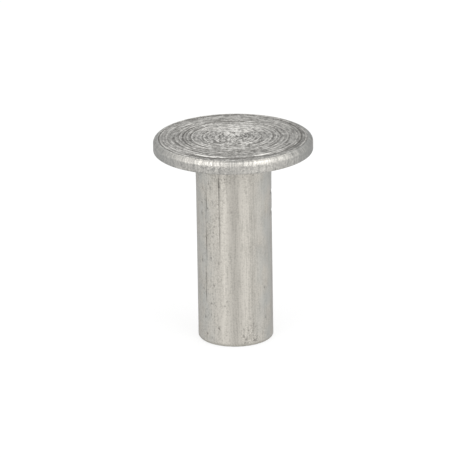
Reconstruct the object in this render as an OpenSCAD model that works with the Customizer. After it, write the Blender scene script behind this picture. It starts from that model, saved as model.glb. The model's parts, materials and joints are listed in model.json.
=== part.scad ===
// Solid flat-head rivet for brake linings, cold headed in one piece from drawn
// aluminium wire. The origin is the centre of the bearing face under the head.
// +Z runs up the axis through the head, and the shank runs down to its tail end,
// which is flat and carries the rivet when it stands.

/* [Shank] */
// Diameter of the shank
shank_d = 7.7; // [6:0.05:10]
// Length of the shank, from the bearing face to the tail end
shank_len = 20; // [8:0.5:40]
// Radius of the fillet between the shank and the bearing face
seat_fillet_r = 0.15; // [0.05:0.05:0.6]
// Radius of the rounded edge at the tail end
tail_edge_r = 0.3; // [0.05:0.05:1]

/* [Head] */
// Diameter of the head over the rim
head_d = 16.25; // [12:0.25:20]
// Thickness of the head, from the bearing face to the flat top face
head_h = 1.35; // [0.9:0.05:3]
// Radius of the rounded shoulder between the top face and the rim
shoulder_r = 0.5; // [0.1:0.05:0.7]
// Radius of the rim's lower edge
rim_foot_r = 0.15; // [0.05:0.05:0.2]

/* [Tool rings on the top face] */
// Step from one ring to the next
ring_pitch = 0.42; // [0.3:0.02:1.2]
// Depth of a ring
ring_depth = 0.04; // [0.01:0.01:0.1]
// Nose radius of the turning tool that the rings follow
ring_nose_r = 0.2; // [0.12:0.02:0.5]
// Depth of the border groove at the edge of the top face
border_depth = 0.06; // [0.02:0.01:0.12]
// Nose radius of the border groove
border_nose_r = 0.09; // [0.06:0.01:0.2]

/* [Hidden] */

$fn = 96;
aluminium = [0.74, 0.73, 0.70];

shank_r = shank_d / 2;
head_r = head_d / 2;
face_r = head_r - shoulder_r;

// Half the width that a round-nosed groove has where it breaks the surface.
function groove_half_w(nose_r, depth) = sqrt(2 * nose_r * depth - depth * depth);

// The border groove ends where the shoulder starts, and the rings stop short of it.
border_r = face_r - groove_half_w(border_nose_r, border_depth);
ring_count = floor((border_r - groove_half_w(border_nose_r, border_depth)
                    - groove_half_w(ring_nose_r, ring_depth)) / ring_pitch);

// A block from the axis out to radius r, between two heights, with its outer
// edges rounded: foot_r at the lower one and top_r at the upper one.
module rounded_block(r, z0, z1, foot_r, top_r) {
    translate([0, z0]) square([r - foot_r, z1 - z0 - top_r]);
    translate([0, z0 + foot_r]) square([r, z1 - z0 - foot_r - top_r]);
    translate([0, z0 + foot_r]) square([r - top_r, z1 - z0 - foot_r]);
    translate([r - foot_r, z0 + foot_r]) circle(foot_r);
    translate([r - top_r, z1 - top_r]) circle(top_r);
}

// The shank runs up into the head, so its own upper edge is square.
module shank_profile() {
    difference() {
        rounded_block(shank_r, -shank_len, shank_r, tail_edge_r, tail_edge_r);
        translate([-shank_d, head_h / 2]) square(shank_d * 3);
    }
}

// The concave corner between the shank and the bearing face.
module seat_fillet_profile() {
    difference() {
        translate([shank_r, -seat_fillet_r]) square(seat_fillet_r);
        translate([shank_r + seat_fillet_r, -seat_fillet_r]) circle(seat_fillet_r);
    }
}

// One round-nosed groove at radius r, cut down into the top face.
module groove_profile(r, nose_r, depth) {
    translate([r, head_h + nose_r - depth]) circle(nose_r);
}

module head_profile() {
    difference() {
        rounded_block(head_r, 0, head_h, rim_foot_r, shoulder_r);
        for (i = [1 : ring_count])
            groove_profile(i * ring_pitch, ring_nose_r, ring_depth);
        groove_profile(border_r, border_nose_r, border_depth);
    }
}

module rivet() {
    color(aluminium)
        rotate_extrude() {
            shank_profile();
            seat_fillet_profile();
            head_profile();
        }
}

rivet();
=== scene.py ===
"""Looks of the brake lining rivet: its mesh, its finishes, the studio and the camera.

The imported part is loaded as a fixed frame, in metres. One piece stands for its only
node: the whole rivet, lathed from its profile by Geometry Nodes, with tool rings,
draw lines and small dents in the mesh. Sizes here are in millimetres unless a name
or a docstring says otherwise, and the front of the rivet faces -Y.
"""

import json
import logging
import math
from dataclasses import asdict, dataclass
from enum import Enum
from typing import Callable, Union

import bpy
from mathutils import Euler, Matrix, Vector

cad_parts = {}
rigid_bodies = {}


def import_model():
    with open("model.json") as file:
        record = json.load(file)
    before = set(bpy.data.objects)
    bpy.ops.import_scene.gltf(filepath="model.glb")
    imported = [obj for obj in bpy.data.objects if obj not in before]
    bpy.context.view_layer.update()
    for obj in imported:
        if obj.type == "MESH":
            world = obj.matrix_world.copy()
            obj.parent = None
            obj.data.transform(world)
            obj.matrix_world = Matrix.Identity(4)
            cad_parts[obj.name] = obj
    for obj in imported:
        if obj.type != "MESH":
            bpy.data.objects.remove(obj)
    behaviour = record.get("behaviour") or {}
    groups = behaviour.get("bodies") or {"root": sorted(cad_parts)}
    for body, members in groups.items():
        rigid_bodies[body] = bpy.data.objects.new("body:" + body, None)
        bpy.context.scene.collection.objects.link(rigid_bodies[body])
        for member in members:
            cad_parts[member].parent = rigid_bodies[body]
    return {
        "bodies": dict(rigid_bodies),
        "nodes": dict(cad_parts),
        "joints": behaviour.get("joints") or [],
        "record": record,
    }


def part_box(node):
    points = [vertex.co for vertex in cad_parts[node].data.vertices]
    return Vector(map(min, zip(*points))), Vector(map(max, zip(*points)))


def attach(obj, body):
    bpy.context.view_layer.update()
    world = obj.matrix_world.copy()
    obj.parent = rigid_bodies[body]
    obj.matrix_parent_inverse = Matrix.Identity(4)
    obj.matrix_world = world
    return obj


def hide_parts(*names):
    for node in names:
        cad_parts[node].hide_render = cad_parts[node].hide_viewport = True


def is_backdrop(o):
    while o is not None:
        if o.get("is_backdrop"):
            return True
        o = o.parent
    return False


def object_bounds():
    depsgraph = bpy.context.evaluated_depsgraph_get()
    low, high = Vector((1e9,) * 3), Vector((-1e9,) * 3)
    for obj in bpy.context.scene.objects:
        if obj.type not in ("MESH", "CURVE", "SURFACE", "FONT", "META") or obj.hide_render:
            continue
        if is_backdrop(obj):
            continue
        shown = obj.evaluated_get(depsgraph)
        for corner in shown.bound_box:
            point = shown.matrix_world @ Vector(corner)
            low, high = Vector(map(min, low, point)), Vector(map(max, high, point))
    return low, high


MM = 0.001
WATTS_PER_AREA = 4.0  # What a lamp needs for each square metre to have a radiance of 1.
LOG = logging.getLogger("rivet")

# The rings' cuts, below 0 where painted glints and painted highlights brighten the face.
CUT = "tool_cut"
SCAR = "scar"
REGION = "region"

Socket = bpy.types.NodeSocket
Material = bpy.types.Material
Colour = tuple[float, float, float, float]
Term = Union["Value", float]
Point = tuple[Term, Term]
Position = tuple[float, float, float]
Outline = Callable[["Value"], Point]


class Region(Enum):
    """The parts of the surface that are finished in different ways."""

    FACE = 0
    RIM = 1
    SHANK = 2
    TAIL = 3


class Draw(Enum):
    """What chance decides for each ring of the face, and the seed of each draw."""

    PLACE = 0.5
    STRENGTH = 40.5
    WIDTH = 80.5


class NodeGraph:
    """A node tree that is filled from Python, for a mesh, a material or the world."""

    def __init__(self, tree: bpy.types.NodeTree) -> None:
        """Keep the tree that the nodes go into."""
        self.tree = tree

    def add(self, kind: str, settings: dict | None = None, inputs: dict | None = None) -> bpy.types.Node:
        """Add one node, its settings first and then what its sockets hold.

        Args:
            kind: The node's type name.
            settings: Values of the node's own properties.
            inputs: Values, sockets or plain settings, by the socket's name or number.

        Returns:
            The new node.
        """
        node = self.tree.nodes.new(kind)
        for name, value in (settings or {}).items():
            setattr(node, name, value)
        for key, value in (inputs or {}).items():
            self.feed(self.socket(node.inputs, key), value)
        return node

    def socket(self, sockets: bpy.types.bpy_prop_collection, key: str | int) -> Socket:
        """Find a socket.

        Args:
            sockets: A node's inputs or outputs.
            key: The socket's number, or the name of one that is in use.

        Returns:
            The socket.
        """
        if isinstance(key, int):
            return sockets[key]
        return next(s for s in sockets if s.enabled and s.name == key)

    def feed(self, socket: Socket, value: object) -> None:
        """Link a socket, or set its value.

        Args:
            socket: The input that gets the value.
            value: A Value, another socket, or a plain setting.
        """
        source = value.socket if isinstance(value, Value) else value
        if isinstance(source, Socket):
            self.tree.links.new(source, socket)
        else:
            socket.default_value = source

    def get(self, node: bpy.types.Node, key: str | int = 0) -> "Value":
        """Give one output of a node as a Value."""
        return Value(self, self.socket(node.outputs, key))

    def attribute(self, name: str) -> "Value":
        """Read one of the mesh's own numbers, in a material."""
        return self.get(self.add("ShaderNodeAttribute", {"attribute_name": name}), "Fac")

    def maths(self, operation: str, *terms: Term) -> "Value":
        """Work out one of the Math node's operations on numbers."""
        return self.get(self.add("ShaderNodeMath", {"operation": operation}, dict(enumerate(terms))))

    def vector(self, x: Term, y: Term, z: Term) -> Socket:
        """Join three numbers into a vector."""
        return self.add("ShaderNodeCombineXYZ", inputs={0: x, 1: y, 2: z}).outputs[0]

    def noise(self, spot: Socket, seed: float, scale: float = 1.0, detail: float = 2.0) -> "Value":
        """Give smooth noise around 0.5, with this many waves for each unit of the spot."""
        inputs = {"Vector": spot, "W": seed, "Scale": scale, "Detail": detail}
        return self.get(self.add("ShaderNodeTexNoise", {"noise_dimensions": "4D"}, inputs))

    def dots(self, spot: Socket, scale: float, size: Term) -> "Value":
        """Give scattered round dots, 1 in their middle, whose radius is a share of their spacing."""
        node = self.add("ShaderNodeTexVoronoi", inputs={"Vector": spot, "Scale": scale})
        return self.get(node, "Distance").ramp(size, size * 0.3)

    def dice(self, number: "Value", draw: Draw) -> "Value":
        """Give each whole number its own random value from 0 to 1."""
        inputs = {"W": number + draw.value}
        return self.get(self.add("ShaderNodeTexWhiteNoise", {"noise_dimensions": "1D"}, inputs), "Value")

    def blend(self, amount: Term, first: Colour | Socket, second: Colour | Socket) -> Socket:
        """Mix two colours, from the first at 0 to the second at 1."""
        inputs = {"Factor": amount, "A": first, "B": second}
        return self.socket(self.add("ShaderNodeMix", {"data_type": "RGBA"}, inputs).outputs, "Result")


class Value:
    """A number from a node, on which Python's operators add Math nodes."""

    def __init__(self, graph: NodeGraph, socket: Socket) -> None:
        """Keep the graph and the socket that the number comes from."""
        self.graph = graph
        self.socket = socket

    def __add__(self, other: Term) -> "Value":
        """Add."""
        return self.graph.maths("ADD", self, other)

    def __radd__(self, other: float) -> "Value":
        """Add to a plain number."""
        return self.graph.maths("ADD", other, self)

    def __sub__(self, other: Term) -> "Value":
        """Subtract."""
        return self.graph.maths("SUBTRACT", self, other)

    def __rsub__(self, other: float) -> "Value":
        """Subtract from a plain number."""
        return self.graph.maths("SUBTRACT", other, self)

    def __mul__(self, other: Term) -> "Value":
        """Multiply."""
        return self.graph.maths("MULTIPLY", self, other)

    def __rmul__(self, other: float) -> "Value":
        """Multiply a plain number."""
        return self.graph.maths("MULTIPLY", other, self)

    def __truediv__(self, other: Term) -> "Value":
        """Divide."""
        return self.graph.maths("DIVIDE", self, other)

    def __rtruediv__(self, other: float) -> "Value":
        """Divide a plain number."""
        return self.graph.maths("DIVIDE", other, self)

    def __neg__(self) -> "Value":
        """Change the sign."""
        return self * -1.0

    def root(self) -> "Value":
        """Square root."""
        return self.graph.maths("SQRT", self)

    def cosine(self) -> "Value":
        """Cosine of an angle in radians."""
        return self.graph.maths("COSINE", self)

    def sine(self) -> "Value":
        """Sine of an angle in radians."""
        return self.graph.maths("SINE", self)

    def nearest(self) -> "Value":
        """Nearest whole number."""
        return self.graph.maths("ROUND", self)

    def at_least(self, other: Term) -> "Value":
        """The larger of the two."""
        return self.graph.maths("MAXIMUM", self, other)

    def at_most(self, other: Term) -> "Value":
        """The smaller of the two."""
        return self.graph.maths("MINIMUM", self, other)

    def swing(self) -> "Value":
        """Noise less its middle, so that it goes up and down from 0."""
        return self - 0.5

    def ramp(self, start: Term, end: Term) -> "Value":
        """Rise smoothly from 0 at start to 1 at end, or fall where end is the lower.

        Args:
            start: Where it is 0.
            end: Where it is 1.

        Returns:
            The ramp.
        """
        inputs = {"Value": self, "From Min": start, "From Max": end}
        node = self.graph.add("ShaderNodeMapRange", {"interpolation_type": "SMOOTHSTEP"}, inputs)
        return self.graph.get(node, "Result")

    def hump(self, centre: Term, width: Term) -> "Value":
        """Be 1 at the centre and fade out on both sides, a width away being 1/e."""
        offset = (self - centre) / width
        return self.graph.maths("EXPONENT", -(offset * offset))

    def matches(self, number: int) -> "Value":
        """Be 1 at one whole number, and next to 0 at the others."""
        return self.hump(number, 0.3)

    def trough(self) -> "Value":
        """Be 1 at 0 and fall to 0 at 1 and -1, as the depth of a groove does."""
        return (1.0 - self * self).at_least(0.0)


class Place:
    """Where a point of the rivet is, round its axis, in millimetres and radians.

    Its z is the height over the seat under the head.
    """

    def __init__(self, graph: NodeGraph, position: Socket, to_mm: float) -> None:
        """Split a position.

        Args:
            graph: The tree that the nodes go into.
            position: The point.
            to_mm: What turns its unit into millimetres.
        """
        self.graph = graph
        parts = graph.add("ShaderNodeSeparateXYZ", inputs={0: position})
        self.x, self.y, self.z = (graph.get(parts, i) * to_mm for i in range(3))
        self.radius = (self.x * self.x + self.y * self.y).root()
        self.angle = graph.maths("ARCTAN2", self.y, self.x)
        self.east = self.angle.cosine()
        self.north = self.angle.sine()

    def squashed(self, share: float) -> Socket:
        """Give the place with its height cut to a share, which stretches a pattern upright."""
        return self.graph.vector(self.x, self.y, self.z * share)

    def wrapped(self, around: float, along: Term) -> Socket:
        """Give a spot for noise that has no seam round the axis."""
        return self.graph.vector(self.east * around, self.north * around, along)


@dataclass(frozen=True)
class Grain:
    """Noise around 0.5, stretched over the rivet with no seam round the axis.

    It has this many waves for each millimetre of radius (across), for each radian
    (around), about, and for each millimetre of height (up).
    """

    across: float
    around: float
    up: float
    seed: float
    detail: float = 2.0

    def at(self, place: Place) -> Value:
        """Give the noise at a place."""
        along = place.radius * self.across + place.z * self.up
        return place.graph.noise(place.wrapped(self.around, along), self.seed, detail=self.detail)


@dataclass(frozen=True)
class Side:
    """A side of the rivet, in degrees round the axis, where -90 is the front.

    Its spread is how many degrees away from its middle it has faded to 1/e.
    """

    angle: float
    spread: float

    def at(self, place: Place) -> Value:
        """Be 1 at this side's middle and fade out round the axis."""
        return place.angle.hump(math.radians(self.angle), math.radians(self.spread))


@dataclass(frozen=True)
class Surface:
    """What varies over a finish.

    Dullness goes from bright metal at 0 to dull metal at 1. Dirt goes from none at 0
    to plain grime at 1, and also gives the painted shade in the face's grooves. The tinge
    goes from none at 0 to the cool colour at 1, a painted cool reflection at the sides.
    The height is in millimetres.
    """

    dullness: Term
    dirt: Term
    roughness: Term
    height: Term
    tinge: Term = 0.0


def new_material(name: str) -> tuple[Material, NodeGraph]:
    """Start a material.

    Args:
        name: What it is called.

    Returns:
        The material, and the graph of its empty node tree.
    """
    material = bpy.data.materials.new(name)
    material.use_nodes = True
    material.node_tree.nodes.clear()
    return material, NodeGraph(material.node_tree)


@dataclass(frozen=True)
class AluminiumFinish:
    """Bare aluminium, as every surface of the rivet shares it.

    The lay of the metal stretches its gloss: upright on the shank and outwards on
    the face, which is a quarter turn from round the axis.
    """

    name: str
    lay: float
    bright: Colour = (0.530, 0.511, 0.464, 1.0)
    dull: Colour = (0.300, 0.288, 0.258, 1.0)
    # The cool colour of a painted reflection at the rivet's sides.
    cool: Colour = (0.424, 0.440, 0.434, 1.0)
    # The grime colour also gives painted shade, in the face's grooves.
    grime: Colour = (0.120, 0.114, 0.104, 1.0)
    edge_tint: Colour = (0.62, 0.62, 0.62, 1.0)
    quarter_turn: float = 0.25

    def surface(self, place: Place) -> Surface:
        """Work out what varies over the surface, at the shaded point."""
        raise NotImplementedError

    def material(self) -> Material:
        """Make the finish as a material.

        Returns:
            The material.
        """
        material, graph = new_material(self.name)
        position = graph.add("ShaderNodeTexCoord").outputs["Object"]
        surface = self.surface(Place(graph, position, 1 / MM))
        metal = graph.blend(surface.dullness, self.bright, self.dull)
        # Painted cool reflection, blended in at the sides.
        metal = graph.blend(surface.tinge, metal, self.cool)
        bump = graph.add("ShaderNodeBump", inputs={"Strength": 1.0, "Distance": MM, "Height": surface.height})
        shader = graph.add(
            "ShaderNodeBsdfPrincipled",
            inputs={
                # Dirt, which is partly painted shade, darkens the metal towards the grime colour.
                "Base Color": graph.blend(surface.dirt, metal, self.grime),
                "Metallic": 1.0,
                "Roughness": surface.roughness,
                "Normal": bump.outputs[0],
                "Specular Tint": self.edge_tint,
                "Anisotropic": self.lay,
                "Anisotropic Rotation": self.quarter_turn,
            },
        )
        graph.add("ShaderNodeOutputMaterial", inputs={"Surface": shader.outputs[0]})
        return material


@dataclass(frozen=True)
class TurnedFace(AluminiumFinish):
    """The head's top face, with rings from the turned heading punch."""

    name: str = "turned_face"
    lay: float = 0.7
    bright: Colour = (0.740, 0.727, 0.694, 1.0)
    dull: Colour = (0.190, 0.185, 0.174, 1.0)
    base_dullness: float = 0.59
    base_roughness: float = 0.34
    fine: Grain = Grain(9.0, 2.6, 0.0, seed=2.0, detail=3.0)
    dash: Grain = Grain(3.4, 8.0, 0.0, seed=6.0)
    patch: Grain = Grain(0.8, 1.4, 0.0, seed=5.0)
    dimples_per_mm: float = 4.6
    blotches_per_mm: float = 1.4
    middle_radius: float = 5.0
    border: float = 7.0
    # Painted highlight behind the middle and painted shade in front of it.
    painted_highlight_radius: float = 3.0
    painted_front_shade_radius: float = 2.2
    # Where the face is darker towards its outer edge, at its front right.
    worn: Side = Side(-30.0, 24.1)
    worn_radius: float = 5.4

    def surface(self, place: Place) -> Surface:
        """Work out the face: fine turned grain, coarser at its middle, and the rings' cuts, darkened
        as painted shade, with painted glints and highlights beside them.

        Args:
            place: The shaded point.

        Returns:
            The surface there.
        """
        graph, flat = place.graph, place.squashed(0.0)
        fine, dash, patch = self.fine.at(place), self.dash.at(place), self.patch.at(place)
        dimple = graph.noise(flat, 21.0, self.dimples_per_mm, detail=3.0)
        blotch = graph.noise(flat, 22.0, self.blotches_per_mm)
        cut = graph.attribute(CUT)
        middle = place.radius.ramp(self.middle_radius, 0.5)
        # The grain and blotches are stronger at the middle: partly tone, partly painted glints.
        grain = fine.swing() * 1.5 + dash.swing() * 1.6 + dimple.swing() * 1.8
        dullness = self.base_dullness + grain * (middle * 0.9 + 0.84) + patch.swing() * 0.42
        # wear() adds painted highlight and painted shade, and a darker patch at the front right.
        dullness = dullness + blotch.swing() * (middle * 1.85 + 0.45) + self.wear(place)
        return Surface(
            # Where the cut is below 0 the face is painted brighter, as painted glints and highlights.
            dullness=dullness + cut.at_most(0.0) * 0.8,
            # Painted shade: the rings and the border groove are darkened in the colour.
            dirt=cut.ramp(0.3, 0.95) * (0.85 - place.east.ramp(0.0, 0.8) * 0.2),
            roughness=self.base_roughness + patch.swing() * 0.25 + cut.at_least(0.0) * 0.12,
            height=fine * 0.012 + dimple * 0.018,
        )

    def wear(self, place: Place) -> Value:
        """Work out the face's painted highlight behind its middle, its painted shade in front of it,
        at its front and back and at its outer band, and where it is darker at its outer front right.

        Args:
            place: The shaded point.

        Returns:
            What adds to the dullness.
        """
        # Painted shade: darker in the front and back sectors and at the outer band.
        fore_and_aft = (place.north * place.north).ramp(0.4, 0.9) * place.radius.ramp(2.5, 6.5)
        edge = place.radius.ramp(self.border, self.border + 0.12)
        # Painted highlight behind the middle and painted shade in front of it, as a turned face's lit
        # sectors.
        painted_highlight = place.north.ramp(0.5, 0.9) * place.radius.hump(self.painted_highlight_radius, 1.5)
        painted_front_shade = place.north.ramp(-0.4, -0.9) * place.radius.hump(self.painted_front_shade_radius, 1.2)
        worn = self.worn.at(place) * place.radius.ramp(self.worn_radius, self.worn_radius + 1.0)
        ends = fore_and_aft * (0.20 - place.north * 0.09)
        return ends + edge * 0.1 - painted_highlight * 0.24 + painted_front_shade * 0.16 + worn * 0.16


@dataclass(frozen=True)
class RolledRim(AluminiumFinish):
    """The head's shoulder, rim and underside, speckled from the heading die."""

    name: str = "rolled_rim"
    lay: float = 0.3
    bright: Colour = (0.690, 0.668, 0.622, 1.0)
    dull: Colour = (0.285, 0.280, 0.266, 1.0)
    base_dullness: float = 0.09
    base_roughness: float = 0.37
    upright: Grain = Grain(0.6, 34.0, 0.6, seed=3.0, detail=3.0)
    speckle: Grain = Grain(4.5, 40.0, 4.5, seed=8.0)
    patch: Grain = Grain(0.5, 3.0, 0.5, seed=9.0)
    wall_top: float = 1.02
    # Where painted shade darkens the rim, to shape its highlight.
    left: Side = Side(-126.0, 24.1)
    right: Side = Side(-2.0, 40.1)
    front: Side = Side(-88.0, 10.9)
    front_foot: float = 0.98
    brow_foot: float = 1.30
    brow_top: float = 1.345

    def surface(self, place: Place) -> Surface:
        """Work out the rim: upright lines and speckles, duller on its wall and sides as painted
        shade, with a painted cool reflection at its sides.

        Args:
            place: The shaded point.

        Returns:
            The surface there.
        """
        upright, speckle, patch = self.upright.at(place), self.speckle.at(place), self.patch.at(place)
        wall = place.z.ramp(self.wall_top, self.wall_top - 0.25)
        sides = place.east * place.east
        grain = (upright - 0.4) * 1.2 + speckle.swing() * (1.75 - wall * 0.45)
        # Painted shade: the wall is darker than the shoulder, which keeps the bright metal.
        dullness = self.base_dullness + grain + patch.swing() * 0.38 + wall * 0.34
        return Surface(
            # Painted shade: the rim is darker at its left and right ends.
            dullness=dullness + sides.ramp(0.35, 1.0) * (0.44 - wall * 0.14) + self.rubbing(place, wall),
            dirt=speckle.ramp(0.6, 0.78) * 0.3,
            roughness=self.base_roughness + patch.swing() * 0.2,
            height=speckle * 0.07 + upright * 0.022,
            # Painted cool reflection at the rim's sides.
            tinge=sides.ramp(0.2, 0.95) * 0.3,
        )

    def rubbing(self, place: Place, wall: Value) -> Value:
        """Work out the painted shade that makes the rim duller at its left, right and front and on its upper
        shoulder.

        Args:
            place: The shaded point.
            wall: 1 on the rim's wall and 0 on its shoulder.

        Returns:
            What adds to the dullness.
        """
        left = self.left.at(place) * (wall * 0.16 + 0.10)
        right = self.right.at(place) * 0.28
        front = self.front.at(place) * place.z.ramp(self.front_foot, self.front_foot + 0.16) * 0.62
        # Painted shade on the upper shoulder, which moves the highlight down.
        brow = place.z.ramp(self.brow_foot, self.brow_top) * 0.22
        return left + right + front + brow


@dataclass(frozen=True)
class DrawnShank(AluminiumFinish):
    """The shank's side, with lengthwise lines from the wire's drawing die."""

    name: str = "drawn_shank"
    lay: float = 0.75
    bright: Colour = (0.543, 0.518, 0.471, 1.0)
    dull: Colour = (0.306, 0.292, 0.262, 1.0)
    base_roughness: float = 0.36
    streak: Grain = Grain(0.0, 24.0, 0.35, seed=1.0, detail=4.0)
    patch: Grain = Grain(0.0, 3.5, 0.7, seed=4.0, detail=4.0)
    fleck: Grain = Grain(0.0, 16.0, 4.0, seed=6.0)
    grit: Grain = Grain(0.0, 26.0, 6.5, seed=19.0)
    crumb: Grain = Grain(0.0, 20.0, 7.0, seed=26.0)
    cloud: Grain = Grain(0.0, 3.0, 0.4, seed=25.0, detail=3.0)
    pits_per_mm: float = 1.9
    specks_per_mm: float = 4.0
    neck_foot: float = -3.5
    torn: Side = Side(-64.0, 20.6)
    torn_top: float = -17.0
    # A painted dark band of reflection, upright on the shank's front right.
    dim: Side = Side(-62.0, 6.3)

    def surface(self, place: Place) -> Surface:
        """Work out the side: draw lines and pits, rougher at its left, its neck and its tear,
        with painted shade under the head, a painted dark band and a painted cool reflection at its sides.

        Args:
            place: The shaded point.

        Returns:
            The surface there.
        """
        graph, sides = place.graph, place.east * place.east
        streak, patch = self.streak.at(place), self.patch.at(place)
        fleck, grit, crumbs = self.fleck.at(place), self.grit.at(place), self.crumb.at(place).swing()
        scar = graph.attribute(SCAR)
        neck = place.z.ramp(self.neck_foot, -0.5)
        torn = self.torn.at(place) * place.z.ramp(self.torn_top, self.torn_top - 1.9)
        rough = (place.east.hump(-0.75, 0.5) * 0.7 + neck * 0.8 + torn + 0.1).at_most(1.0)

        pits = graph.dots(place.squashed(0.7), self.pits_per_mm, 0.25 + torn * 0.08)
        pits = pits * (patch + rough * 0.28).ramp(0.56, 0.8)
        specks = graph.dots(place.squashed(0.6), self.specks_per_mm, 0.34)
        specks = specks * (fleck + rough * 0.18).ramp(0.52, 0.76)

        dullness = (streak - 0.4) * 1.7 + grit.swing() * (rough * 1.3 + 1.3)
        dullness = dullness + fleck.swing() * (rough * 0.9 + 0.3) + patch.swing() * 0.6
        # The painted dark band darkens one upright strip.
        dullness = dullness + self.dim.at(place) * 0.2 + crumbs * torn * 2.6
        relief = streak * 0.006 + grit * 0.01 - pits * 0.03 - specks * 0.01
        return Surface(
            # Painted shade under the head, darker at the left.
            dullness=dullness + neck * (place.east.ramp(0.1, -0.5) * 0.3 + 0.12),
            dirt=(scar * 0.85 + pits * 0.5 + specks * 0.4).at_most(1.0),
            roughness=self.base_roughness + patch.swing() * 0.2 + scar * 0.1,
            height=relief - crumbs * torn * 0.05,
            # Painted cool reflection at the shank's sides, in patches.
            tinge=sides.ramp(0.1, 0.7) * self.cloud.at(place).ramp(0.3, 0.65) * 0.5,
        )


@dataclass(frozen=True)
class ShearedTail(AluminiumFinish):
    """The tail's edge and end, torn a little where the wire was cut off."""

    name: str = "sheared_tail"
    lay: float = 0.0
    base_roughness: float = 0.45
    tears_per_mm: float = 5.0
    patches_per_mm: float = 0.8

    def surface(self, place: Place) -> Surface:
        """Work out the end: fine tears that run across it, along Y.

        Args:
            place: The shaded point.

        Returns:
            The surface there.
        """
        across = place.graph.vector(place.x, place.y * 0.25, place.z)
        tear = place.graph.noise(across, 7.0, self.tears_per_mm, detail=5.0)
        patch = place.graph.noise(across, 4.0, self.patches_per_mm)
        return Surface(
            dullness=(tear - 0.2) * 1.4,
            dirt=tear.ramp(0.62, 0.9) * 0.5 + (patch - 0.4) * 0.2,
            roughness=self.base_roughness + patch.swing() * 0.2,
            height=tear * 0.03,
        )


@dataclass(frozen=True)
class Mark:
    """A dent or a line in the shank's side, deepest in its middle.

    Its angle is in degrees round the axis, where -90 is the front, its height is
    over the tail end, and its last number is how dark it is inside, from 0 to 1.
    """

    angle: float
    height: float
    width: float
    length: float
    depth: float
    darkness: float = 1.0

    def is_line(self) -> bool:
        """Tell whether it is a draw line, which breaks up here and there."""
        return self.length > 1.0


@dataclass(frozen=True)
class Stretch:
    """One stretch of the rivet's profile, with its finish and its rows of faces."""

    region: Region
    rows: int
    outline: Outline


def straight(start: Point, end: Point) -> Outline:
    """Give a straight stretch of the profile.

    Args:
        start: The radius and height that it starts from.
        end: The radius and height that it ends at.

    Returns:
        What gives the point a share of the way along.
    """

    def point(share: Value) -> Point:
        """Give the point a share of the way along."""
        return share * (end[0] - start[0]) + start[0], share * (end[1] - start[1]) + start[1]

    return point


def rounded(centre: Point, radius: Value, start: float, end: float) -> Outline:
    """Give a round stretch of the profile.

    Args:
        centre: The radius and height of the arc's centre.
        radius: The arc's own radius.
        start: The angle that it starts from, in radians.
        end: The angle that it ends at.

    Returns:
        What gives the point a share of the way along.
    """

    def point(share: Value) -> Point:
        """Give the point a share of the way along."""
        angle = share * (end - start) + start
        return angle.cosine() * radius + centre[0], angle.sine() * radius + centre[1]

    return point


def groove_half_width(nose: Value, depth: Value) -> Value:
    """Give half the width that a round-nosed groove has where it breaks the surface."""
    return (nose * depth * 2.0 - depth * depth).root()


def put_in_scene(name: str, data: bpy.types.ID) -> bpy.types.Object:
    """Make an object of a mesh, a lamp or a camera, in the scene.

    Args:
        name: What the object is called.
        data: What it shows.

    Returns:
        The object.
    """
    thing = bpy.data.objects.new(name, data)
    bpy.context.scene.collection.objects.link(thing)
    return thing


@dataclass(frozen=True)
class Profile:
    """The sizes that the rivet is lathed from."""

    head_radius: float
    head_height: float
    shank_radius: float
    shank_length: float
    shoulder_radius: float = 0.5
    rim_foot_radius: float = 0.15
    seat_fillet_radius: float = 0.15
    tail_edge_radius: float = 0.3
    ring_pitch: float = 0.42
    ring_depth: float = 0.04
    ring_nose_radius: float = 0.2
    border_depth: float = 0.06
    border_nose_radius: float = 0.09

    def named_inputs(self) -> dict[str, float]:
        """Give each size under the name of its input, such as "Head radius"."""
        return {name.replace("_", " ").capitalize(): value for name, value in asdict(self).items()}


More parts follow.
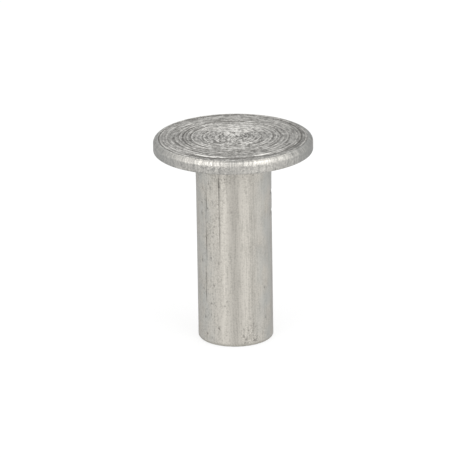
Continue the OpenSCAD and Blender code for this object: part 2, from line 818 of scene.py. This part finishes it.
@dataclass(frozen=True)
class RivetBody:
    """The one-piece rivet: a flat round head on a solid shank.

    The rings' spread is a share of their pitch, and each scoop has a side and a strength.
    """

    profile: Profile
    ring_centre: tuple[float, float] = (-0.12, 0.25)
    strong_rings: tuple[int, ...] = (3, 7, 10, 12, 14)
    last_ring: int = 17
    last_ring_half_width: float = 0.15
    ring_spread: float = 0.35
    ring_margin: float = 0.16
    wander: Grain = Grain(0.5, 1.5, 0.0, seed=11.0)
    wander_size: float = 0.3
    shake: Grain = Grain(1.5, 8.0, 0.0, seed=17.0)
    shake_size: float = 0.08
    # The painted glints: bright dashes just inside the scoops, painted into the face's colour.
    painted_glint_radius: float = 6.70
    painted_glint_width: float = 0.10
    scoop_radius: float = 6.80
    scoop_width: float = 0.12
    scoop_depth: float = 0.05
    scoops: tuple[tuple[Side, float], ...] = ((Side(-110.0, 12.0), 1.0), (Side(-63.0, 9.0), 0.6))
    scoop_breaks: Grain = Grain(2.0, 9.0, 0.0, seed=23.0)
    border_grain: Grain = Grain(0.0, 2.0, 0.0, seed=13.0)
    lip_width: float = 0.06
    face_grain: Grain = Grain(5.0, 3.0, 0.0, seed=14.0)
    face_grain_depth: float = 0.01

    line_breaks: Grain = Grain(0.0, 6.0, 1.6, seed=20.0, detail=3.0)
    bend: Grain = Grain(0.0, 14.0, 4.0, seed=24.0)
    bend_size: float = 0.35
    head_swell: float = 0.035
    ripple: Grain = Grain(0.0, 2.4, 0.12, seed=15.0, detail=3.0)
    ripple_depth: float = 0.02
    tear: Grain = Grain(0.0, 9.0, 2.2, seed=16.0, detail=3.0)
    tear_depth: float = 0.03

    merge_distance: float = 1e-5
    columns: int = 312
    face_rows: int = 138
    shoulder_rows: int = 12
    rim_rows: int = 7
    foot_rows: int = 4
    seat_rows: int = 5
    fillet_rows: int = 4
    shank_rows: int = 124
    edge_rows: int = 6
    tail_rows: int = 6
    marks: tuple[Mark, ...] = (
        Mark(-137.6, 15.4, 0.075, 1.3, 0.040),
        Mark(-138.0, 11.2, 0.070, 1.7, 0.045),
        Mark(-139.6, 7.4, 0.065, 1.1, 0.040, 0.8),
        Mark(-140.6, 5.4, 0.070, 0.7, 0.040),
        Mark(-113.4, 17.3, 0.090, 1.4, 0.065),
        Mark(-113.6, 13.0, 0.070, 3.2, 0.035, 0.9),
        Mark(-116.5, 9.0, 0.060, 0.35, 0.025, 0.6),
        Mark(-72.0, 17.2, 0.075, 0.10, 0.035, 0.6),
        Mark(-71.5, 16.6, 0.080, 0.11, 0.035, 0.6),
        Mark(-145.0, 16.7, 0.080, 0.11, 0.035, 0.8),
        Mark(-128.5, 17.0, 0.085, 0.11, 0.035, 0.8),
        Mark(-148.0, 15.1, 0.090, 0.13, 0.040),
        Mark(-148.5, 14.0, 0.090, 0.15, 0.040),
        Mark(-149.0, 8.9, 0.090, 0.15, 0.040),
        Mark(-130.5, 7.0, 0.070, 0.12, 0.030, 0.6),
        Mark(-143.0, 2.9, 0.090, 0.12, 0.035, 0.8),
        Mark(-39.0, 6.0, 0.080, 0.11, 0.035, 0.8),
        Mark(-66.5, 6.4, 0.070, 0.10, 0.025, 0.5),
        Mark(-36.5, 2.7, 0.085, 0.12, 0.045, 0.9),
        Mark(-66.5, 3.0, 0.080, 0.11, 0.035, 0.6),
        Mark(-61.5, 2.2, 0.090, 0.30, 0.040, 0.5),
        Mark(-70.0, 1.8, 0.080, 0.12, 0.050, 0.9),
        Mark(-78.5, 1.2, 0.090, 0.12, 0.050, 0.9),
        Mark(-74.5, 0.8, 0.120, 0.11, 0.055, 0.9),
        Mark(-75.5, 0.4, 0.120, 0.10, 0.045, 0.8),
        Mark(-58.0, 0.5, 0.200, 0.12, 0.050, 0.6),
        Mark(-5.0, 15.6, 0.700, 0.15, 0.115, 0.8),
        Mark(-4.0, 13.5, 0.750, 0.16, 0.120, 0.8),
        Mark(58.0, 12.0, 0.070, 3.0, 0.035),
        Mark(104.0, 6.0, 0.080, 2.2, 0.035),
        Mark(150.0, 16.0, 0.100, 0.13, 0.045),
    )

    @classmethod
    def from_frame(cls, frame: dict) -> "RivetBody":
        """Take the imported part's own sizes.


        Returns:
            The body, with the size of the CAD node that it stands for.
        """
        low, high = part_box("rivet")
        shank = next(m for m in frame["record"]["mounts"] if m["name"] == "shank")
        return cls(Profile(high.x / MM, high.z / MM, shank["dims"]["r_mm"], -low.z / MM))

    def build(self, finishes: dict[Region, Material]) -> bpy.types.Object:
        """Make the piece.

        Args:
            finishes: The material of each Region.

        Returns:
            The rivet as a plain mesh, in metres.
        """
        tree = bpy.data.node_groups.new("rivet_lathe", "GeometryNodeTree")
        identifiers = self.fill(tree, finishes)
        carrier = put_in_scene("rivet_carrier", bpy.data.meshes.new("rivet_carrier"))
        modifier = carrier.modifiers.new("lathe", "NODES")
        modifier.node_group = tree
        for name, value in self.profile.named_inputs().items():
            modifier[identifiers[name]] = value
        depsgraph = bpy.context.evaluated_depsgraph_get()
        mesh = bpy.data.meshes.new_from_object(carrier.evaluated_get(depsgraph), depsgraph=depsgraph)
        carrier.modifiers.remove(modifier)
        bpy.data.objects.remove(carrier)
        mesh.name = "rivet_body"
        return put_in_scene("rivet_body", mesh)

    def fill(self, tree: bpy.types.NodeTree, finishes: dict[Region, Material]) -> dict[str, str]:
        """Fill the lathe's tree: the turned surface, its wear and its materials.

        Args:
            tree: The empty tree.
            finishes: The material of each Region.

        Returns:
            The identifier of each named input's socket.
        """
        interface = tree.interface
        interface.new_socket("Geometry", in_out="OUTPUT", socket_type="NodeSocketGeometry")
        identifiers = {
            name: interface.new_socket(name, in_out="INPUT", socket_type="NodeSocketFloat").identifier
            for name in self.profile.named_inputs()
        }
        graph = NodeGraph(tree)
        source = graph.add("NodeGroupInput")
        size = {name: graph.get(source, name) for name in identifiers}
        geometry = self.wear(graph, size, self.turn(graph, size))
        inputs = {"Geometry": geometry, "Scale": (MM, MM, MM)}
        geometry = graph.add("GeometryNodeTransform", inputs=inputs).outputs[0]
        for kind in ("GeometryNodeSetShadeSmooth", "GeometryNodeRealizeInstances"):
            geometry = graph.add(kind, inputs={0: geometry}).outputs[0]
        for region, material in finishes.items():
            geometry = self.dress(graph, geometry, region, material)
        graph.add("NodeGroupOutput", inputs={0: geometry})
        return identifiers

    def dress(self, graph: NodeGraph, geometry: Socket, region: Region, material: Material) -> Socket:
        """Give one region its material.

        Args:
            graph: The lathe's nodes.
            geometry: The whole surface.
            region: Which faces get it.
            material: What they get.

        Returns:
            The geometry's socket.
        """
        reader = graph.add("GeometryNodeInputNamedAttribute", {"data_type": "INT"}, {"Name": REGION})
        chosen = graph.maths("COMPARE", graph.get(reader, "Attribute"), float(region.value), 0.1)
        inputs = {"Geometry": geometry, "Selection": chosen, "Material": material}
        return graph.add("GeometryNodeSetMaterial", inputs=inputs).outputs[0]

    def turn(self, graph: NodeGraph, size: dict[str, Value]) -> Socket:
        """Lathe the profile, from the face's middle down to the tail's middle.

        Args:
            graph: The lathe's nodes.
            size: The named inputs.

        Returns:
            The closed surface's socket.
        """
        head_r, head_h = size["Head radius"], size["Head height"]
        shank_r, tail_z = size["Shank radius"], -size["Shank length"]
        shoulder, foot = size["Shoulder radius"], size["Rim foot radius"]
        fillet, edge = size["Seat fillet radius"], size["Tail edge radius"]
        face_r, foot_r, seat_r, end_r = head_r - shoulder, head_r - foot, shank_r + fillet, shank_r - edge
        shoulder_z, fillet_z, edge_z = head_h - shoulder, -fillet, tail_z + edge
        up, level, down, back = math.pi / 2, 0.0, -math.pi / 2, math.pi
        stretches = (
            Stretch(Region.FACE, self.face_rows, straight((0.0, head_h), (face_r, head_h))),
            Stretch(Region.RIM, self.shoulder_rows, rounded((face_r, shoulder_z), shoulder, up, level)),
            Stretch(Region.RIM, self.rim_rows, straight((head_r, shoulder_z), (head_r, foot))),
            Stretch(Region.RIM, self.foot_rows, rounded((foot_r, foot), foot, level, down)),
            Stretch(Region.RIM, self.seat_rows, straight((foot_r, 0.0), (seat_r, 0.0))),
            Stretch(Region.SHANK, self.fillet_rows, rounded((seat_r, fillet_z), fillet, up, back)),
            Stretch(Region.SHANK, self.shank_rows, straight((shank_r, fillet_z), (shank_r, edge_z))),
            Stretch(Region.TAIL, self.edge_rows, rounded((end_r, edge_z), edge, level, down)),
            Stretch(Region.TAIL, self.tail_rows, straight((end_r, tail_z), (0.0, tail_z))),
        )
        join = graph.add("GeometryNodeJoinGeometry")
        for stretch in reversed(stretches):
            graph.feed(join.inputs[0], self.sweep(graph, stretch))
        inputs = {"Geometry": join.outputs[0], "Distance": self.merge_distance}
        return graph.add("GeometryNodeMergeByDistance", inputs=inputs).outputs[0]

    def sweep(self, graph: NodeGraph, stretch: Stretch) -> Socket:
        """Turn one stretch of the profile round the axis.

        Args:
            graph: The lathe's nodes.
            stretch: The stretch.

        Returns:
            The band's socket.
        """
        counts = {"Vertices X": stretch.rows + 1, "Vertices Y": self.columns + 1}
        grid = graph.add("GeometryNodeMeshGrid", inputs={"Size X": 1.0, "Size Y": 1.0, **counts})
        parts = graph.add("ShaderNodeSeparateXYZ", inputs={0: grid.outputs["UV Map"]})
        radius, height = stretch.outline(graph.get(parts, 0))
        angle = graph.get(parts, 1) * (2 * math.pi)
        inputs = {
            "Geometry": grid.outputs["Mesh"],
            "Position": graph.vector(radius * angle.cosine(), radius * angle.sine(), height),
        }
        band = graph.add("GeometryNodeSetPosition", inputs=inputs)
        inputs = {"Geometry": band.outputs[0], "Name": REGION, "Value": stretch.region.value}
        settings = {"data_type": "INT", "domain": "FACE"}
        return graph.add("GeometryNodeStoreNamedAttribute", settings, inputs).outputs[0]

    def wear(self, graph: NodeGraph, size: dict[str, Value], geometry: Socket) -> Socket:
        """Cut the rings and press the marks into the surface, and swell its neck a little.

        Args:
            graph: The lathe's nodes.
            size: The named inputs.
            geometry: The plain turned surface.

        Returns:
            The worn surface's socket.
        """
        place = Place(graph, graph.add("GeometryNodeInputPosition").outputs[0], 1.0)
        rings, cut = self.rings(size, place)
        dents, scar = self.dents(size, place)
        depth = rings + dents + self.unevenness(size, place)
        for name, value in ((CUT, cut), (SCAR, scar)):
            inputs = {"Geometry": geometry, "Name": name, "Value": value}
            settings = {"data_type": "FLOAT", "domain": "POINT"}
            geometry = graph.add("GeometryNodeStoreNamedAttribute", settings, inputs).outputs[0]
        normal = graph.add("GeometryNodeInputNormal").outputs[0]
        inputs = {"Vector": normal, "Scale": -depth}
        offset = graph.add("ShaderNodeVectorMath", {"operation": "SCALE"}, inputs)
        inputs = {"Geometry": geometry, "Offset": offset.outputs[0]}
        return graph.add("GeometryNodeSetPosition", inputs=inputs).outputs[0]

    def rings(self, size: dict[str, Value], place: Place) -> tuple[Value, Value]:
        """Work out how the face is cut: its rings, its two scoops and its border groove.

        Args:
            size: The named inputs.
            place: The point of the surface.

        Returns:
            The depth, and the share of a full cut, which is below 0 where bright lines are
            painted: painted glints beside the scoops and painted highlights along the rings'
            crests and the border's lip.
        """
        face_r, face_z = size["Head radius"] - size["Shoulder radius"], size["Head height"]
        on_face = place.z.ramp(face_z - 0.002, face_z - 0.001)
        reach = self.reach(face_r, place)
        ring, crest = self.tool_rings(size, place, reach)
        inside = reach.ramp(face_r - self.ring_margin, face_r - (self.ring_margin + 0.08))
        ring, crest = ring * inside, crest * inside

        shine = 0.0
        for side, share in self.scoops:
            shine = side.at(place) * share + shine
        shine = self.scoop_breaks.at(place).ramp(0.30, 0.48) * shine
        # Painted glints: bright dashes beside the scoops, in the colour only.
        painted_glint = reach.hump(self.painted_glint_radius, self.painted_glint_width) * shine
        scoop = reach.hump(self.scoop_radius, self.scoop_width) * shine

        half_width = groove_half_width(size["Border nose radius"], size["Border depth"])
        border = ((place.radius - (face_r - half_width)) / half_width).trough()
        border = border * (self.border_grain.at(place) * 0.5 + 0.75)
        border = border * (place.east.ramp(0.6, -0.7) * 0.6 + 0.4)
        # The lip is a painted highlight, a bright line inside the border groove with no raised metal.
        lip = place.radius.hump(face_r - half_width * 2.4, self.lip_width)

        depth = ring * size["Ring depth"] + scoop * self.scoop_depth + border * size["Border depth"]
        depth = depth + self.face_grain.at(place) * self.face_grain_depth
        # Below 0 the face is painted brighter: the crests, the lip and the glints are painted highlights.
        cut = (ring + border).at_most(1.0) - crest - painted_glint * 2.6 - lip * 0.6
        return depth * on_face, cut * on_face

    def reach(self, face_r: Value, place: Place) -> Value:
        """Work out how far a point is from the rings' own centre, as the rings wander.

        Args:
            face_r: The radius of the flat face.
            place: The point of the surface.

        Returns:
            The distance, which doesn't wander at the face's edge.
        """
        off_x, off_y = self.ring_centre
        inwards = 1.0 - (place.radius / face_r) * (place.radius / face_r)
        reach = place.radius - place.east * off_x - place.north * off_y
        wander, shake = self.wander.at(place).swing(), self.shake.at(place).swing()
        return reach + (wander * self.wander_size + shake * self.shake_size) * inwards

    def tool_rings(self, size: dict[str, Value], place: Place, reach: Value) -> tuple[Value, Value]:
        """Work out the rings, each with its own place, width and strength.

        Args:
            size: The named inputs.
            place: The point of the surface.
            reach: Its distance from the rings' own centre.

        Returns:
            How much of a ring's cut there is, and of the crest beside it.
        """
        graph, pitch = place.graph, size["Ring pitch"]
        number = (reach / pitch).nearest()
        last = number.matches(self.last_ring) * place.east.ramp(-1.0, -0.5)
        strong = last * 1.5
        for ring_number in self.strong_rings:
            strong = number.matches(ring_number) + strong

        middle = (number + graph.dice(number, Draw.PLACE).swing() * self.ring_spread) * pitch
        half_width = groove_half_width(size["Ring nose radius"], size["Ring depth"])
        half_width = half_width * (graph.dice(number, Draw.WIDTH) * 0.6 + 0.7)
        half_width = half_width * (1.0 - last) + last * self.last_ring_half_width
        across = (reach - middle) / half_width

        strength = graph.dice(number, Draw.STRENGTH) * 0.5 + 0.5 + strong * 0.4
        fade = graph.noise(place.wrapped(1.4, number * 3.7), 12.0).ramp(0.25, 0.52)
        gaps = graph.noise(place.wrapped(8.0, number * 5.3), 18.0).ramp(0.3, 0.6) * 0.6 + 0.4
        strength = strength * fade.at_least(strong * 0.6) * gaps.at_least(last * 0.8)
        # The crest beside each ring is a painted highlight, with no raised metal under it.
        return across.trough() * strength, across.hump(-1.35, 0.4) * strength

    def dents(self, size: dict[str, Value], place: Place) -> tuple[Value, Value]:
        """Work out the marks on the shank's side.

        Args:
            size: The named inputs.
            place: The point of the surface.

        Returns:
            The depth, and how dark the marks are inside, from 0 to 1.
        """
        below_head = place.z.ramp(-0.02, -self.profile.seat_fillet_radius)
        breaks = self.line_breaks.at(place).ramp(0.28, 0.5) * 0.75 + 0.25
        bend = self.bend.at(place).swing() * self.bend_size
        height = place.z + size["Shank length"] + bend
        angle = place.angle + bend * 0.1
        depth, scar = 0.0, 0.0
        for mark in self.marks:
            around = angle.hump(math.radians(mark.angle), mark.width / self.profile.shank_radius)
            shape = around * height.hump(mark.height, mark.length)
            if mark.is_line():
                shape = shape * breaks
            depth = shape * mark.depth + depth
            scar = shape * mark.darkness + scar
        return depth * below_head, scar.at_most(1.0) * below_head

    def unevenness(self, size: dict[str, Value], place: Place) -> Value:
        """Work out the shank's ripples, its swell under the head and its torn tail edge.

        Args:
            size: The named inputs.
            place: The point of the surface.

        Returns:
            The depth, which is below 0 where the shank swells.
        """
        height = place.z + size["Shank length"]
        on_shank = place.z.ramp(-0.05, -3.0) * height.ramp(0.3, 1.5)
        swell = place.z.ramp(-4.0, -0.3) * place.z.ramp(-0.02, -0.3)
        shank_r = self.profile.shank_radius
        low_edge = height.ramp(1.6, 0.2) * place.radius.ramp(shank_r - 0.5, shank_r - 0.1)
        low_edge = low_edge * place.z.ramp(-1.0, -2.0)
        tear = self.tear.at(place).ramp(0.45, 0.8) * low_edge
        ripples = self.ripple.at(place) * on_shank
        return ripples * self.ripple_depth - swell * self.head_swell + tear * self.tear_depth


def direction(azimuth: float, elevation: float) -> Vector:
    """Give the way to a place this many degrees to the right of the front and above the level."""
    turn, rise = math.radians(azimuth), math.radians(elevation)
    return Vector((math.sin(turn) * math.cos(rise), -math.cos(turn) * math.cos(rise), math.sin(rise)))


@dataclass(frozen=True)
class Softbox:
    """A studio lamp with a flat square-cornered front, in metres.

    Its azimuth is in degrees to the right of the front, and its radiance is what a
    mirror would show of it, where 1 is white.
    """

    name: str
    width: float
    height: float
    azimuth: float
    elevation: float
    distance: float
    radiance: float

    def hang(self, target: Vector) -> None:
        """Hang the lamp so that it faces the target.

        Args:
            target: The point that it lights, in metres.
        """
        lamp = bpy.data.lights.new(self.name, "AREA")
        lamp.shape = "RECTANGLE"
        lamp.size = self.width
        lamp.size_y = self.height
        lamp.energy = WATTS_PER_AREA * self.radiance * self.width * self.height
        holder = put_in_scene(self.name, lamp)
        holder.location = target + direction(self.azimuth, self.elevation) * self.distance
        holder.rotation_euler = (target - holder.location).to_track_quat("-Z", "Y").to_euler()


def flat_sheet(name: str, corners: list[Position], material: Material) -> bpy.types.Object:
    """Make one flat four-cornered face, such as a floor or a card.

    Args:
        name: What the object is called.
        corners: Its corners in order, in metres.
        material: Its material.

    Returns:
        The sheet.
    """
    mesh = bpy.data.meshes.new(name)
    mesh.from_pydata(corners, [], [(0, 1, 2, 3)])
    mesh.materials.append(material)
    return put_in_scene(name, mesh)


@dataclass(frozen=True)
class PaleFloor:
    """A wide white floor that keeps the rivet's shadow, in metres."""

    level: float
    half_side: float = 1.5
    own_light: float = 0.75
    white: Colour = (0.92, 0.92, 0.92, 1.0)

    def lay(self) -> None:
        """Lay the floor."""
        s = self.half_side
        corners = [(-s, -s, self.level), (s, -s, self.level), (s, s, self.level), (-s, s, self.level)]
        floor = flat_sheet("floor", corners, self.material())
        floor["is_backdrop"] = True

    def material(self) -> Material:
        """Make the floor's material, which shines by itself only where it is seen or mirrored.

        Returns:
            The material.
        """
        material, graph = new_material("white_floor")
        path = graph.add("ShaderNodeLightPath")
        seen = graph.get(path, "Is Camera Ray").at_least(graph.get(path, "Is Glossy Ray"))
        seen = seen.at_least(graph.get(path, "Is Transmission Ray"))
        matte = graph.add("ShaderNodeBsdfDiffuse", inputs={"Color": self.white})
        glow = graph.add("ShaderNodeEmission", inputs={"Strength": 1.0})
        inputs = {0: seen * self.own_light, 1: matte.outputs[0], 2: glow.outputs[0]}
        lit = graph.add("ShaderNodeMixShader", inputs=inputs)
        graph.add("ShaderNodeOutputMaterial", inputs={"Surface": lit.outputs[0]})
        return material


@dataclass(frozen=True)
class DarkCard:
    """A dark card behind the camera, which mirrors show and the camera doesn't.

    It stands on the floor, facing the rivet, and its sizes are in metres.
    """

    width: float = 0.20
    height: float = 0.32
    distance: float = 0.62
    shade: Colour = (0.03, 0.03, 0.03, 1.0)

    def stand(self, level: float) -> None:
        """Stand the card up.

        Args:
            level: The floor's height, in metres.
        """
        half, y, top = self.width / 2, -self.distance, level + self.height
        corners = [(-half, y, level), (-half, y, top), (half, y, top), (half, y, level)]
        card = flat_sheet("dark_card", corners, self.material())
        card.visible_camera = False
        card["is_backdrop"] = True

    def material(self) -> Material:
        """Make the card's matte material.

        Returns:
            The material.
        """
        material, graph = new_material("dark_card")
        matte = graph.add("ShaderNodeBsdfDiffuse", inputs={"Color": self.shade})
        graph.add("ShaderNodeOutputMaterial", inputs={"Surface": matte.outputs[0]})
        return material


@dataclass(frozen=True)
class Studio:
    """The floor, the card, the plain world and the lamps."""

    sky: float = 0.85
    sky_colour: Colour = (1.0, 1.0, 1.0, 1.0)
    aim: Position = (0.0, 0.0, 0.0)
    lamps: tuple[Softbox, ...] = (
        Softbox("top_box", 0.34, 0.34, 0.0, 62.0, 0.45, 0.60),
        Softbox("back_top_box", 0.36, 0.22, 180.0, 42.0, 0.50, 0.78),
        Softbox("left_box", 0.34, 0.34, -56.0, 57.0, 0.45, 0.66),
        Softbox("right_box", 0.38, 0.36, 58.0, 54.0, 0.45, 0.96),
        Softbox("left_strip", 0.14, 0.34, -32.0, 16.0, 0.50, 2.05),
        Softbox("right_strip", 0.20, 0.34, 32.0, 16.0, 0.50, 1.25),
        Softbox("left_panel", 0.30, 0.18, -68.0, 8.0, 0.50, 0.62),
        Softbox("right_panel", 0.36, 0.18, 72.0, 8.0, 0.50, 0.52),
    )

    def set_up(self, floor_level: float) -> None:
        """Lay the floor, stand up the card, light the world and hang the lamps.

        Args:
            floor_level: The height that the rivet stands at, in metres.
        """
        PaleFloor(floor_level).lay()
        DarkCard().stand(floor_level)
        world = bpy.data.worlds.new("studio")
        world.use_nodes = True
        world.node_tree.nodes.clear()
        graph = NodeGraph(world.node_tree)
        sky = graph.add("ShaderNodeBackground", inputs={"Color": self.sky_colour, "Strength": self.sky})
        graph.add("ShaderNodeOutputWorld", inputs={"Surface": sky.outputs[0]})
        bpy.context.scene.world = world
        for lamp in self.lamps:
            lamp.hang(Vector(self.aim))


@dataclass(frozen=True)
class Camera:
    """The camera, a long lens at a fixed place, in metres and degrees.

    The lens and the sensor are in millimetres.
    """

    target: Position = (-0.00055, 0.0, -0.00852)
    azimuth: float = 0.0
    elevation: float = 19.3
    distance: float = 0.481
    roll: float = -0.9
    nearest: float = 0.01
    farthest: float = 10.0
    lens: float = 370.5
    sensor: float = 36.0

    def place(self) -> None:
        """Place the camera and make it the scene's own."""
        data = bpy.data.cameras.new("camera")
        data.lens = self.lens
        data.sensor_width = self.sensor
        data.sensor_fit = "HORIZONTAL"
        data.clip_start = self.nearest
        data.clip_end = self.farthest
        camera = put_in_scene("camera", data)
        stand = Vector(self.target) + direction(self.azimuth, self.elevation) * self.distance
        aim = Euler((math.radians(90.0 - self.elevation), 0.0, math.radians(self.azimuth)))
        roll = Matrix.Rotation(math.radians(self.roll), 4, "Z")
        camera.matrix_world = Matrix.Translation(stand) @ aim.to_matrix().to_4x4() @ roll
        bpy.context.scene.camera = camera


def report(piece: bpy.types.Object) -> None:
    """Log a piece's name and how many faces it has."""
    LOG.info("%s: %d faces", piece.name, len(piece.data.polygons))


def main() -> None:
    """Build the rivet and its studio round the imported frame."""
    logging.basicConfig(level=logging.INFO, format="%(message)s")
    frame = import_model()
    cad_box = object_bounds()
    bpy.context.scene.view_settings.view_transform = "Standard"

    finishes = {
        Region.FACE: TurnedFace().material(),
        Region.RIM: RolledRim().material(),
        Region.SHANK: DrawnShank().material(),
        Region.TAIL: ShearedTail().material(),
    }
    body = RivetBody.from_frame(frame).build(finishes)
    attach(body, "root")
    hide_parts("rivet")
    report(body)

    Studio().set_up(cad_box[0][2])
    Camera().place()


if __name__ == "__main__":
    main()
